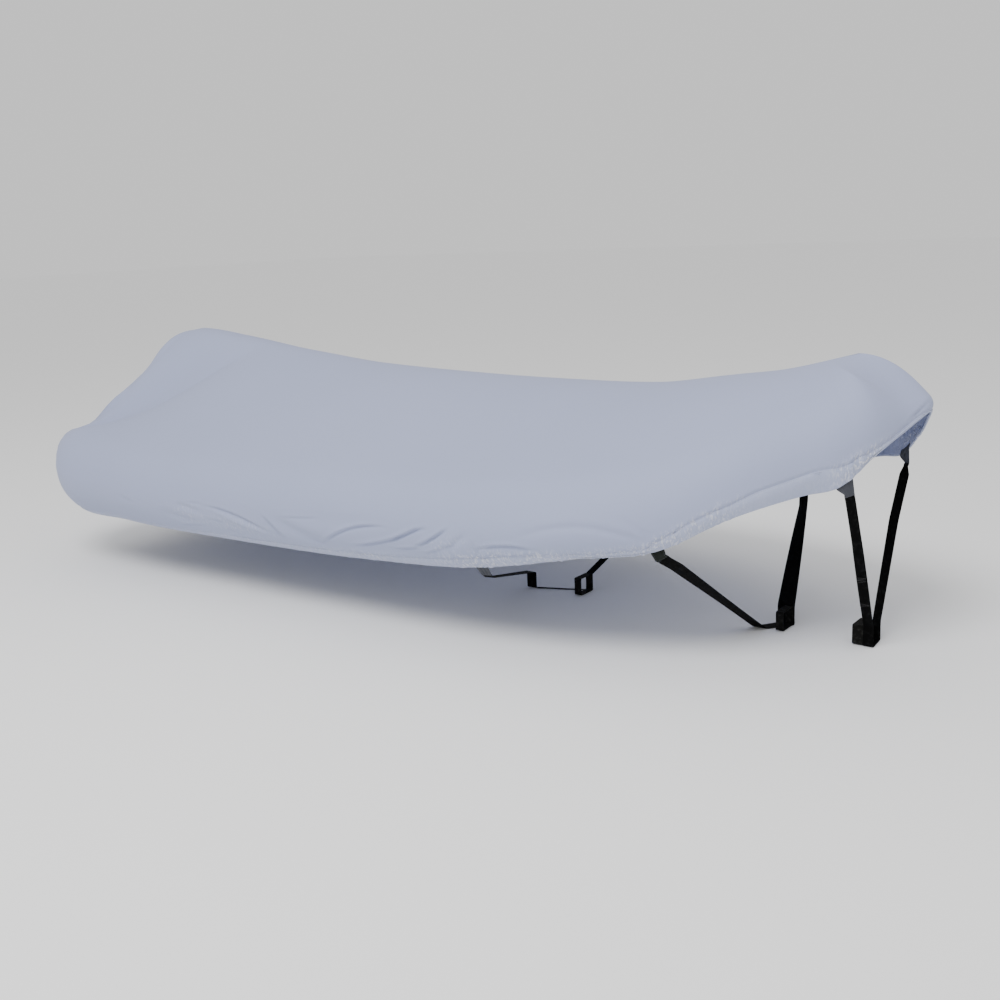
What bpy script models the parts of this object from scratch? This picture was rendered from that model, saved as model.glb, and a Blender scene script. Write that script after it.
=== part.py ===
"""Fitted cloth cover for a small inflatable boat, with its tie-down tabs and straps.

The cover hangs as one hollow sheet over a boat and outboard that are left out.
+X is the bow, +Z is up and the cover is level along Y = 0. All sizes are metres.
"""
import math

import bmesh
import bpy
import numpy as np

for old in list(bpy.data.objects):
    bpy.data.objects.remove(old, do_unlink=True)

# Sheet thicknesses.
CLOTH = 0.002
TAB_CLOTH = 0.002
WEBBING = 0.0015
SEAM_GAP = 0.0003

# One row per section round the edge, from the middle of the stern to the bow tip.
# across is half the beam at the widest line, height is that line's height,
# shoulder is the radius of the roll over the tube, drop is the hem below that line
# (minus is below), tuck is how far the hem turns in under the tube, ridge_x is where
# the section meets the ridge, fullness is how far the top panel swells and sag how far
# it leaves the tube level instead of straight for the ridge.
SECTION_COLUMNS = ("x", "across", "height", "shoulder", "drop", "tuck", "ridge_x",
                   "fullness", "sag")
SECTIONS = (
    (-1.900, 0.000, 0.050, 0.10, -0.660, -0.10, -1.80, 0.45, 0.0),
    (-1.920, 0.185, -0.045, 0.075, -0.570, -0.06, -1.78, 0.45, 0.05),
    (-1.960, 0.380, -0.210, 0.10, -0.420, 0.02, -1.74, 0.32, 0.7),
    (-2.045, 0.540, -0.360, 0.10, -0.285, 0.07, -1.66, 0.25, 0.6),
    (-2.070, 0.680, -0.380, 0.10, -0.270, 0.10, -1.47, 0.40, 1.0),
    (-1.960, 0.800, -0.450, 0.19, -0.230, 0.13, -1.28, 0.55, 0.95),
    (-1.520, 0.860, -0.485, 0.21, -0.205, 0.15, -1.00, 0.50, 0.1),
    (-0.680, 0.870, -0.485, 0.21, -0.205, 0.15, -0.43, 0.50, 0.0),
    (0.120, 0.870, -0.475, 0.21, -0.190, 0.14, 0.20, 0.50, 0.0),
    (0.720, 0.850, -0.455, 0.21, -0.155, 0.10, 0.70, 0.50, 0.0),
    (1.120, 0.780, -0.415, 0.21, -0.120, 0.07, 1.07, 0.50, 0.0),
    (1.390, 0.680, -0.365, 0.21, -0.130, 0.05, 1.30, 0.50, 0.0),
    (1.620, 0.560, -0.285, 0.21, -0.090, 0.03, 1.46, 0.50, 0.0),
    (1.820, 0.405, -0.205, 0.21, -0.100, 0.03, 1.59, 0.50, 0.0),
    (1.920, 0.325, -0.155, 0.21, -0.120, 0.02, 1.64, 0.50, 0.0),
    (1.990, 0.250, -0.115, 0.21, -0.075, 0.01, 1.72, 0.50, 0.0),
    (2.050, 0.120, -0.085, 0.11, -0.026, 0.00, 1.80, 0.50, 0.0),
    (2.100, 0.000, -0.035, 0.05, -0.025, 0.01, 1.84, 0.40, 0.0),
)

# The ridge along the middle, stern to bow; crest is the half width of its round top.
RIDGE_COLUMNS = ("x", "height", "crest")
RIDGE = (
    (-1.83, 0.155, 0.15),
    (-1.68, 0.175, 0.16),
    (-1.38, 0.145, 0.17),
    (-0.98, 0.090, 0.18),
    (-0.48, 0.030, 0.20),
    (0.12, 0.000, 0.22),
    (0.62, -0.010, 0.22),
    (1.02, -0.005, 0.22),
    (1.32, 0.035, 0.20),
    (1.57, 0.070, 0.18),
    (1.84, 0.135, 0.12),
)

# Mesh columns in each gap between two sections, rows from the hem to the end of the
# shoulder's roll and rows from there to the ridge.
COLUMNS_PER_GAP = (2, 2, 3, 3, 3, 5, 7, 7, 5, 4, 3, 3, 3, 2, 2, 2, 2)
KEEP_APART = 0.08
LOWER_ROWS = 11
UPPER_ROWS = 11
ROWS = LOWER_ROWS + UPPER_ROWS
FINE_HEM = 10
FINE_SHOULDER = 12
FINE_TOP = 24
STEEPEST_ROLL = math.radians(100)
SMALLEST_ROLL = 0.05
LEAST_TURN = 0.001
CREST_SHARE = 0.7

# Broad soft folds. side is -1 for the near side and 1 for the far side, station counts
# sections, up is the distance from the hem, long and wide are half sizes (in sections
# and metres), rise is how far the fold climbs from end to end, depth is its hollow.
FOLD_COLUMNS = ("side", "station", "up", "long", "wide", "rise", "depth")
FOLDS = (
    (-1, 7.90, 0.250, 0.70, 0.055, 0.02, 0.006),
    (-1, 8.40, 0.180, 0.45, 0.040, 0.08, 0.005),
    (-1, 6.90, 0.270, 0.60, 0.060, -0.05, 0.005),
    (-1, 10.00, 0.150, 0.55, 0.045, -0.08, 0.005),
    (-1, 5.30, 0.620, 0.70, 0.090, -0.10, 0.008),
    (-1, 12.60, 0.085, 1.00, 0.030, 0.00, 0.004),
    (1, 8.70, 0.220, 0.60, 0.060, -0.06, 0.007),
    (1, 7.10, 0.240, 0.70, 0.050, 0.04, 0.006),
    (1, 10.50, 0.130, 0.50, 0.050, 0.06, 0.005),
    (1, 5.20, 0.600, 0.80, 0.100, -0.08, 0.009),
    (1, 12.30, 0.090, 0.90, 0.035, 0.00, 0.004),
)

# Tie-down tabs sewn under the hem. first and last are the stations of the tab's two
# top corners; the foot is the middle of its lower end, where the webbing starts.
TAB_COLUMNS = ("name", "first", "last", "foot_x", "foot_across", "foot_height",
               "foot_width")
TABS = (
    ("bow", 13.88, 14.38, 1.925, 0.285, -0.315, 0.036),
    ("middle", 10.95, 11.13, 1.388, 0.610, -0.525, 0.048),
    ("stern", 8.92, 9.02, 0.675, 0.695, -0.662, 0.038),
)
TAB_ROOT = 0.008
TAB_WAIST = 0.55
TAB_STUB = 0.012

# Trailer beam that the straps pass under; it is left out and its space stays open.
BEAM_HALF = 0.043
BEAM_TOP = -0.855
BEAM_DEEP = 0.070
TURN_CLEAR = 0.0008
STRAP_CLEAR = 0.0026
CORNER_STEP = 0.002

# One row per side of each strap: the point where it leaves the tube, then where it
# crosses the beam and how wide it lies there. turned is how far it has already twisted
# from the hem's direction to the beam's where it leaves the tube. over_top says whether
# it bends over the beam's top edge (1) or goes straight to the bottom edge (0).
RUN_COLUMNS = ("name", "side", "leave_x", "leave_across", "leave_height", "turned",
               "over_top", "meet_x", "meet_width")
RUNS = (
    ("bow", -1, 1.930, 0.225, -0.483, 0.0, 1, 1.916, 0.038),
    ("bow", 1, 1.908, 0.215, -0.511, 1.0, 1, 1.913, 0.031),
    ("middle", -1, 1.410, 0.555, -0.563, 0.0, 0, 1.490, 0.060),
    ("middle", 1, 1.410, 0.555, -0.571, 0.0, 1, 1.558, 0.070),
    ("stern", -1, 0.645, 0.640, -0.690, 0.0, 1, 0.412, 0.050),
    ("stern", 1, 0.645, 0.620, -0.695, 0.0, 1, 0.653, 0.034),
)
RUN_STEPS = 5
TWIST_RUN = 0.02

# Closed turns of webbing round the beam beside the straps.
TURN_COLUMNS = ("name", "x", "width")
TURNS = (
    ("bow", 1.877, 0.044),
    ("middle", 1.572, 0.032),
    ("stern", 0.653, 0.034),
)


def with_names(columns, rows):
    return [dict(zip(columns, row)) for row in rows]


def section_at(stations):
    """Sections at fractional stations, and the plan direction of the edge there."""
    table = np.array(SECTIONS)
    before = table[1].copy()
    after = table[-2].copy()
    before[1] *= -1
    after[1] *= -1
    wide = np.vstack([before, table, after])
    index = np.clip(np.floor(stations).astype(int), 0, len(table) - 2)
    u = (stations - index)[:, None]
    a, b, c, d = (wide[index + k] for k in range(4))

    def chord(p, q):
        return np.linalg.norm((p - q)[:, :3], axis=1)[:, None]

    ab, bc, cd = chord(a, b), chord(b, c), chord(c, d)
    start = ((c - b) / bc * ab + (b - a) / ab * bc) / (ab + bc) * bc
    end = ((d - c) / cd * bc + (c - b) / bc * cd) / (bc + cd) * bc
    u2, u3 = u * u, u * u * u
    value = ((2 * u3 - 3 * u2 + 1) * b + (u3 - 2 * u2 + u) * start
             + (3 * u2 - 2 * u3) * c + (u3 - u2) * end)
    slope = ((6 * u2 - 6 * u) * (b - c) + (3 * u2 - 4 * u + 1) * start
             + (3 * u2 - 2 * u) * end)
    return value, slope[:, :2]


def ridge_at(x):
    """Height and crest half width of the ridge at x."""
    table = np.array(RIDGE)
    s = float(np.interp(x, table[:, 0], np.arange(len(table))))
    i = min(int(s), len(table) - 2)
    u = s - i
    b, c = table[i], table[i + 1]
    a = table[i - 1] if i else 2 * b - c
    d = table[i + 2] if i + 2 < len(table) else 2 * c - b
    row = 0.5 * (2 * b + (c - a) * u + (2 * a - 5 * b + 4 * c - d) * u * u
                 + (3 * b - a - 3 * c + d) * u ** 3)
    return row[1], row[2]


def unit(vector):
    return vector / np.linalg.norm(vector)


def bezier(p0, p1, p2, p3, count, close):
    t = np.linspace(0, 1, count, endpoint=close)[:, None]
    return ((1 - t) ** 3 * p0 + 3 * (1 - t) ** 2 * t * p1
            + 3 * (1 - t) * t * t * p2 + t ** 3 * p3)


def spread(line, count):
    """Points at even steps along a line, and how far along it they are."""
    run = np.r_[0, np.cumsum(np.linalg.norm(np.diff(line, axis=0), axis=1))]
    even = np.linspace(0, run[-1], count + 1)
    return np.stack([np.interp(even, run, line[:, k]) for k in range(3)], 1), even


def column(row, direction):
    """One line of the sheet from the hem, over the tube, up to the ridge."""
    s = dict(zip(SECTION_COLUMNS, row))
    length = np.hypot(*direction)
    out = np.array([-direction[1] / length, direction[0] / length, 0.0])
    up = np.array([0.0, 0.0, 1.0])
    edge = np.array([s["x"], s["across"], s["height"]])
    height, crest = ridge_at(s["ridge_x"])
    top = np.array([s["ridge_x"], 0.0, height])
    drop = -s["drop"]
    turn = 2 * math.atan2(s["tuck"], drop)
    hem = edge - out * s["tuck"] - up * drop
    handle = drop / 3
    if abs(turn) > LEAST_TURN:
        handle = 4 / 3 * math.tan(abs(turn) / 4) * abs(drop / math.sin(turn))
    lead = hem + handle * (math.sin(turn) * out + math.cos(turn) * up)
    below = bezier(hem, lead, edge - up * handle, edge, FINE_HEM, False)
    axis = edge - out * s["shoulder"]
    inward = (top - axis) * (1, 1, 0)
    reach = np.linalg.norm(inward)
    inward /= reach
    brow = top - inward * min(crest, reach * CREST_SHARE)
    run = (brow - axis) @ inward
    climb = brow[2] - axis[2]
    rise = math.atan2(climb, run)
    bend = math.acos(min(s["shoulder"] / math.hypot(run, climb), 1.0))
    last = math.pi - rise - bend
    last += s["sag"] * (math.pi / 2 - last)
    last = min(max(last, SMALLEST_ROLL), STEEPEST_ROLL)
    angle = np.linspace(0, last, FINE_SHOULDER)[:, None]
    roll = axis + s["shoulder"] * (np.cos(angle) * out + np.sin(angle) * up)
    leave = math.cos(last) * up - math.sin(last) * unit((1 - s["sag"]) * out
                                                        - s["sag"] * inward)
    handle = np.linalg.norm(brow - roll[-1]) * s["fullness"]
    above = bezier(roll[-1], roll[-1] + leave * handle, brow, top, FINE_TOP, True)
    low, low_run = spread(np.concatenate([below, roll]), LOWER_ROWS)
    high, high_run = spread(above, UPPER_ROWS)
    return (np.concatenate([low, high[1:]]),
            np.concatenate([low_run, low_run[-1] + high_run[1:]]))


def stations_of_columns():
    """Stations of the mesh columns, with one exactly at each tab corner."""
    corners = [tab[end] for tab in with_names(TAB_COLUMNS, TABS)
               for end in ("first", "last")]
    found = [0.0]
    for gap, count in enumerate(COLUMNS_PER_GAP):
        found += [gap + (k + 1) / count for k in range(count)]
    found = [s for s in found if min(abs(s - c) for c in corners) > KEEP_APART]
    return np.array(sorted(found + corners))


def fold_depth(side, stations, up):
    """How far the folds press the sheet in at each station and height."""
    depth = np.zeros(np.broadcast(stations, up).shape)
    for fold in with_names(FOLD_COLUMNS, FOLDS):
        if fold["side"] != side:
            continue
        along = (stations - fold["station"]) / fold["long"]
        away = (up - fold["up"] - along * fold["rise"]) / fold["wide"]
        depth += fold["depth"] * np.exp(-along ** 2 - away ** 2)
    return depth


def sheet_grid(side, stations):
    """Points of one half of the cover, columns by rows, on side -1 or 1."""
    rows, directions = section_at(stations)
    lines = [column(row, way) for row, way in zip(rows, directions)]
    grid = np.array([line for line, _ in lines])
    up = np.array([run for _, run in lines])
    inward = np.cross(np.gradient(grid, axis=0), np.gradient(grid, axis=1))
    inward /= np.maximum(np.linalg.norm(inward, axis=2), 1e-9)[..., None]
    press = fold_depth(side, stations[:, None], up)
    press[:, (0, -1)] = 0
    press[(0, -1), :] = 0
    grid += inward * press[..., None]
    grid[..., 1] *= side
    return grid


def material(name, colour, roughness):
    made = bpy.data.materials.new(name)
    made.use_nodes = True
    shader = made.node_tree.nodes["Principled BSDF"]
    shader.inputs["Base Color"].default_value = (*colour, 1)
    shader.inputs["Roughness"].default_value = roughness
    return made


def thicken(name, mesh, thickness, offset, slot):
    """Finish a single-layer mesh as a solid sheet of the given thickness."""
    thing = bpy.data.objects.new(name, mesh)
    group.objects.link(thing)
    thing.data.materials.append(slot)
    solid = thing.modifiers.new("thickness", "SOLIDIFY")
    solid.thickness = thickness
    solid.offset = offset
    solid.use_even_offset = True
    return thing


def strip(name, lines, thickness, slot, flip=False, closed=False):
    """Solid ribbon through equal-length lines of points; its outer face is given."""
    mesh = bmesh.new()
    made = [[mesh.verts.new(point) for point in line] for line in lines]
    if closed:
        made.append(made[0])
    for low, high in zip(made, made[1:]):
        for k in range(len(low) - 1):
            corners = [low[k], low[k + 1], high[k + 1], high[k]]
            if flip:
                corners.reverse()
            mesh.faces.new(corners)
    data = bpy.data.meshes.new(name)
    mesh.to_mesh(data)
    mesh.free()
    return thicken(name, data, thickness, -1, slot)


def across(centre, way, width, count):
    """A line of points through centre, width long along way."""
    return [centre + way * width * (t - 0.5) for t in np.linspace(0, 1, count)]


def square_to(way, path):
    return unit(way - path * (way @ path))


group = bpy.data.collections.new("boat_cover")
bpy.context.scene.collection.children.link(group)
grey_cloth = material("grey_cloth", (0.40, 0.43, 0.50), 0.75)
dark_cloth = material("dark_cloth", (0.05, 0.055, 0.065), 0.8)
black_webbing = material("black_webbing", (0.01, 0.01, 0.011), 0.7)

# ---- Cover: one hollow sheet with its hem, both sides meeting along the ridge.
stations = stations_of_columns()
halves = {side: sheet_grid(side, stations) for side in (-1, 1)}
cover = bmesh.new()
made = {}


def cover_point(side, i, j):
    """Shared vertex: both sides meet on the ridge, at the stern and at the bow tip."""
    last = len(stations) - 1
    if j == ROWS or i in (0, last):
        side = 0
    key = (side, i, j)
    if key not in made:
        point = halves[side or 1][i, j].copy()
        if side == 0:
            point[1] = 0
        made[key] = cover.verts.new(point)
    return made[key]


for side in (-1, 1):
    for i in range(len(stations) - 1):
        for j in range(ROWS):
            corners = [cover_point(side, i, j), cover_point(side, i + 1, j),
                       cover_point(side, i + 1, j + 1), cover_point(side, i, j + 1)]
            if side > 0:
                corners.reverse()
            cover.faces.new(corners)
cover_data = bpy.data.meshes.new("cover")
cover.to_mesh(cover_data)
cover.free()
thicken("cover", cover_data, CLOTH, -1, grey_cloth)

# ---- Tabs: dark cloth sewn under the hem, narrowing to the width of the webbing.
SIDES = (("near", -1), ("far", 1))
ALONG = np.array([1.0, 0.0, 0.0])
runs = {(run["name"], run["side"]): run for run in with_names(RUN_COLUMNS, RUNS)}
starts = {}
for tab in with_names(TAB_COLUMNS, TABS):
    first = int(np.abs(stations - tab["first"]).argmin())
    last = int(np.abs(stations - tab["last"]).argmin())
    for side_name, side in SIDES:
        hem = halves[side][first:last + 1, 0]
        down = [unit(p - q) for p, q in zip(hem, halves[side][first:last + 1, 1])]
        top = [p + d * SEAM_GAP for p, d in zip(hem, down)]
        root = [p + d * TAB_ROOT for p, d in zip(top, down)]
        foot = np.array([tab["foot_x"], tab["foot_across"] * side, tab["foot_height"]])
        run = runs[tab["name"], side]
        leave = np.array([run["leave_x"], run["leave_across"] * side,
                          run["leave_height"]])
        path = unit(leave - foot)
        way = square_to(unit(hem[-1] - hem[0]), path)
        count = len(hem)
        end = across(foot, way, tab["foot_width"], count)
        stub = across(foot - path * TAB_STUB, way, tab["foot_width"], count)
        waist = [r + (s - r) * TAB_WAIST for r, s in zip(root, stub)]
        strip(f"tab_{tab['name']}_{side_name}", [top, root, waist, stub, end], TAB_CLOTH,
              dark_cloth, flip=side < 0)
        starts[tab["name"], side] = (foot, leave, path, way, tab["foot_width"])

# ---- Straps: one length of webbing from the near tab, under the beam, to the far tab.
half = BEAM_HALF + STRAP_CLEAR + WEBBING
bottom = BEAM_TOP - BEAM_DEEP - STRAP_CLEAR - WEBBING
for name in [tab["name"] for tab in with_names(TAB_COLUMNS, TABS)]:
    lines = {}
    for side_name, side in SIDES:
        run = runs[name, side]
        foot, leave, path, way, start_width = starts[name, side]
        x, width = run["meet_x"], run["meet_width"]
        low = np.array([x, half * side, bottom + CORNER_STEP])
        meet = np.array([x, half * side, BEAM_TOP]) if run["over_top"] else low
        made = [across(foot + path * SEAM_GAP, way, start_width, 2),
                across(foot + path * (TAB_STUB + TWIST_RUN * run["turned"]),
                       square_to(way * (1 - run["turned"]) + ALONG * run["turned"], path),
                       start_width, 2)]
        for k in range(RUN_STEPS + 1):
            t = k / RUN_STEPS
            lean = run["turned"] + (1 - run["turned"]) * t
            free_way = square_to(way * (1 - lean) + ALONG * lean, unit(meet - leave))
            run_way = unit(free_way * (1 - t) + ALONG * t)
            made.append(across(leave + (meet - leave) * t, run_way,
                               start_width * (1 - t) + width * t, 2))
        if run["over_top"]:
            made.append(across(low, ALONG, width, 2))
        under = np.array([x, (half - CORNER_STEP) * side, bottom])
        made.append(across(under, ALONG, width, 2))
        lines[side] = made
    strip(f"strap_{name}", lines[-1] + lines[1][::-1], WEBBING, black_webbing, flip=True)

# ---- Turns: webbing closed round the beam's space, inside the strap's own path.
for turn in with_names(TURN_COLUMNS, TURNS):
    wide = BEAM_HALF + TURN_CLEAR + WEBBING
    top = BEAM_TOP + TURN_CLEAR + WEBBING
    low = BEAM_TOP - BEAM_DEEP - TURN_CLEAR - WEBBING
    ring = []
    for y, z, y_step, z_step in ((-wide, top, 1, -1), (-wide, low, 1, 1),
                                 (wide, low, -1, 1), (wide, top, -1, -1)):
        beside = np.array([turn["x"], y, z + z_step * CORNER_STEP])
        level = np.array([turn["x"], y + y_step * CORNER_STEP, z])
        pair = [level, beside] if y * z_step > 0 else [beside, level]
        ring += [across(point, ALONG, turn["width"], 2) for point in pair]
    strip(f"turn_{turn['name']}", ring, WEBBING, black_webbing, flip=True, closed=True)
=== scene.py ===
"""Looks of a fitted cloth cover for a small inflatable boat, strapped under a trailer beam.

The boat, its engine and the trailer are left out, so the cover hangs hollow as it was
draped. +X is the bow, +Z is up and the near side is -Y. All sizes are metres.
"""

import math

import bmesh
import bpy
import numpy as np
from mathutils import Matrix, Vector


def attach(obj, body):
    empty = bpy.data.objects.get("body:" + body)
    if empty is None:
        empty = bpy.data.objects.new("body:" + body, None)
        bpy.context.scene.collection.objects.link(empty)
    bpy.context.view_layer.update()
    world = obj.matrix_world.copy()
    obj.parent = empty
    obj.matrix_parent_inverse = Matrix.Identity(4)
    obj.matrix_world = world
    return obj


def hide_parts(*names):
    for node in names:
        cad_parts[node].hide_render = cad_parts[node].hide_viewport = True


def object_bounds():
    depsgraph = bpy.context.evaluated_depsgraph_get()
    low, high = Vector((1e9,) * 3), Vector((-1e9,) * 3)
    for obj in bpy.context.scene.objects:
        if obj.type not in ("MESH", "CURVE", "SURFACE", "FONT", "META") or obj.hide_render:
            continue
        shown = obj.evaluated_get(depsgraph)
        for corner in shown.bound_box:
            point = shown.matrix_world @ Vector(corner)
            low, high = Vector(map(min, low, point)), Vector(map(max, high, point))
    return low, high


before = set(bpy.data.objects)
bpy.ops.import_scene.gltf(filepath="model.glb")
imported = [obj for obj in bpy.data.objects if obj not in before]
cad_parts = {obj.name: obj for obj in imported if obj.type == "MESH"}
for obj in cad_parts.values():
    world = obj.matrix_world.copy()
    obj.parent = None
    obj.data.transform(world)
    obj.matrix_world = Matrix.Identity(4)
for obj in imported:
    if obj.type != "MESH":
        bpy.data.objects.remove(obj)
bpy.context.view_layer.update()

# ---- Cover --------------------------------------------------------------------------
# One sheet of light coated polyester, cut to the boat's outline. It is drawn taut from a
# ridge over the engine, seat and bow, rolls over both side tubes and turns in under them.
CLOTH = 0.0012
SECTION_COLUMNS = ("x", "across", "height", "shoulder", "drop", "tuck", "ridge_x",
                   "fullness", "sag")
SECTIONS = (
    (-1.900, 0.000, 0.050, 0.10, -0.660, -0.10, -1.80, 0.45, 0.0),
    (-1.920, 0.185, -0.045, 0.075, -0.570, -0.06, -1.78, 0.45, 0.05),
    (-1.960, 0.380, -0.210, 0.10, -0.420, 0.02, -1.74, 0.32, 0.7),
    (-2.045, 0.540, -0.360, 0.10, -0.285, 0.07, -1.66, 0.25, 0.6),
    (-2.070, 0.680, -0.380, 0.10, -0.270, 0.10, -1.47, 0.40, 1.0),
    (-1.960, 0.800, -0.450, 0.19, -0.230, 0.13, -1.28, 0.55, 0.95),
    (-1.520, 0.860, -0.485, 0.21, -0.205, 0.15, -1.00, 0.50, 0.1),
    (-0.680, 0.870, -0.485, 0.21, -0.205, 0.15, -0.43, 0.50, 0.0),
    (0.120, 0.870, -0.475, 0.21, -0.190, 0.14, 0.20, 0.50, 0.0),
    (0.720, 0.850, -0.455, 0.21, -0.155, 0.10, 0.70, 0.50, 0.0),
    (1.120, 0.780, -0.415, 0.21, -0.120, 0.07, 1.07, 0.50, 0.0),
    (1.390, 0.680, -0.365, 0.21, -0.130, 0.05, 1.30, 0.50, 0.0),
    (1.620, 0.560, -0.285, 0.21, -0.090, 0.03, 1.46, 0.50, 0.0),
    (1.820, 0.405, -0.205, 0.21, -0.100, 0.03, 1.59, 0.50, 0.0),
    (1.920, 0.325, -0.155, 0.21, -0.120, 0.02, 1.64, 0.50, 0.0),
    (1.990, 0.250, -0.115, 0.21, -0.075, 0.01, 1.72, 0.50, 0.0),
    (2.050, 0.120, -0.085, 0.11, -0.026, 0.00, 1.80, 0.50, 0.0),
    (2.100, 0.000, -0.035, 0.05, -0.025, 0.01, 1.84, 0.40, 0.0),
)
RIDGE_COLUMNS = ("x", "height", "crest")
RIDGE = (
    (-1.83, 0.155, 0.15),
    (-1.68, 0.175, 0.16),
    (-1.38, 0.145, 0.17),
    (-0.98, 0.090, 0.18),
    (-0.48, 0.030, 0.20),
    (0.12, 0.000, 0.22),
    (0.62, -0.010, 0.22),
    (1.02, -0.005, 0.22),
    (1.32, 0.035, 0.20),
    (1.57, 0.070, 0.18),
    (1.84, 0.135, 0.12),
)
LEAST_TURN = 0.001
LEAST_ROLL = 0.05
MOST_ROLL = math.radians(100)
CREST_SHARE = 0.7
# Points on each part of a girth line, and steps of the edge's run from section to section.
BELOW_POINTS = 30
ROLL_POINTS = 30
ABOVE_POINTS = 60
STATION_STEP_COUNT = 40


def with_names(columns, rows):
    return [dict(zip(columns, row)) for row in rows]


def unit(vector):
    return vector / np.linalg.norm(vector)


def section_at(station):
    """The section row at a fractional station, and the plan direction of the edge."""
    table = np.array(SECTIONS)
    mirror = np.array([1, -1] + [1] * (len(SECTION_COLUMNS) - 2))
    wide = np.vstack([table[1] * mirror, table, table[-2] * mirror])
    index = min(int(station), len(table) - 2)
    u = station - index
    a, b, c, d = wide[index:index + 4]
    ab, bc, cd = (np.linalg.norm((q - p)[:3]) for p, q in ((a, b), (b, c), (c, d)))
    start = ((c - b) / bc * ab + (b - a) / ab * bc) / (ab + bc) * bc
    end = ((d - c) / cd * bc + (c - b) / bc * cd) / (bc + cd) * bc
    value = (b + start * u + (3 * (c - b) - 2 * start - end) * u ** 2
             + (2 * (b - c) + start + end) * u ** 3)
    slope = (start + 2 * (3 * (c - b) - 2 * start - end) * u
             + 3 * (2 * (b - c) + start + end) * u ** 2)
    return dict(zip(SECTION_COLUMNS, value)), slope[:2]


def between_rows(table, place):
    """The row at a fractional place in a table, on a smooth curve through its rows."""
    i = min(int(place), len(table) - 2)
    u = place - i
    b, c = table[i], table[i + 1]
    a = table[i - 1] if i else 2 * b - c
    d = table[i + 2] if i + 2 < len(table) else 2 * c - b
    return 0.5 * (2 * b + (c - a) * u + (2 * a - 5 * b + 4 * c - d) * u * u
                  + (3 * b - a - 3 * c + d) * u ** 3)


def ridge_at(x):
    """Height and crest half width of the ridge at x."""
    table = np.array(RIDGE)
    place = float(np.interp(x, table[:, 0], np.arange(len(table))))
    row = dict(zip(RIDGE_COLUMNS, between_rows(table, place)))
    return row["height"], row["crest"]


def bezier(p0, p1, p2, p3, count):
    t = np.linspace(0, 1, count)[:, None]
    return ((1 - t) ** 3 * p0 + 3 * (1 - t) ** 2 * t * p1
            + 3 * (1 - t) * t * t * p2 + t ** 3 * p3)


def girth_line(station):
    """Points from the hem, over the tube, to the ridge; their run; where the roll ends."""
    s, (way_x, way_y) = section_at(station)
    out = unit(np.array([-way_y, way_x, 0.0]))
    up = np.array([0.0, 0.0, 1.0])
    edge = np.array([s["x"], s["across"], s["height"]])
    height, crest = ridge_at(s["ridge_x"])
    top = np.array([s["ridge_x"], 0.0, height])
    drop = -s["drop"]
    turn = 2 * math.atan2(s["tuck"], drop)
    hem = edge - out * s["tuck"] - up * drop
    handle = drop / 3
    if abs(turn) > LEAST_TURN:
        handle = 4 / 3 * math.tan(abs(turn) / 4) * abs(drop / math.sin(turn))
    lead = hem + handle * (math.sin(turn) * out + math.cos(turn) * up)
    below = bezier(hem, lead, edge - up * handle, edge, BELOW_POINTS)[:-1]
    axis = edge - out * s["shoulder"]
    inward = (top - axis) * (1, 1, 0)
    reach = np.linalg.norm(inward)
    inward /= reach
    brow = top - inward * min(crest, reach * CREST_SHARE)
    run = (brow - axis) @ inward
    climb = brow[2] - axis[2]
    bend = math.acos(min(s["shoulder"] / math.hypot(run, climb), 1.0))
    last = math.pi - math.atan2(climb, run) - bend
    last += s["sag"] * (math.pi / 2 - last)
    last = min(max(last, LEAST_ROLL), MOST_ROLL)
    angle = np.linspace(0, last, ROLL_POINTS)[:, None]
    roll = axis + s["shoulder"] * (np.cos(angle) * out + np.sin(angle) * up)
    leave = math.cos(last) * up - math.sin(last) * unit((1 - s["sag"]) * out
                                                        - s["sag"] * inward)
    handle = np.linalg.norm(brow - roll[-1]) * s["fullness"]
    above = bezier(roll[-1], roll[-1] + leave * handle, brow, top, ABOVE_POINTS)[1:]
    line = np.concatenate([below, roll, above])
    step = np.linalg.norm(np.diff(line, axis=0), axis=1)
    travel = np.r_[0, np.cumsum(step)]
    return line, travel, travel[len(below) + len(roll) - 1]


# Distance along the widest line, from the middle of the stern to the bow tip.
STATION_STEPS = np.linspace(0, len(SECTIONS) - 1,
                            STATION_STEP_COUNT * (len(SECTIONS) - 1) + 1)
edge_plan = np.array([[section_at(s)[0][k] for k in ("x", "across", "height")]
                      for s in STATION_STEPS])
EDGE_RUN = np.r_[0, np.cumsum(np.linalg.norm(np.diff(edge_plan, axis=0), axis=1))]
LENGTH = EDGE_RUN[-1]


def station_of(along):
    return float(np.interp(along, EDGE_RUN, STATION_STEPS))


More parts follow.
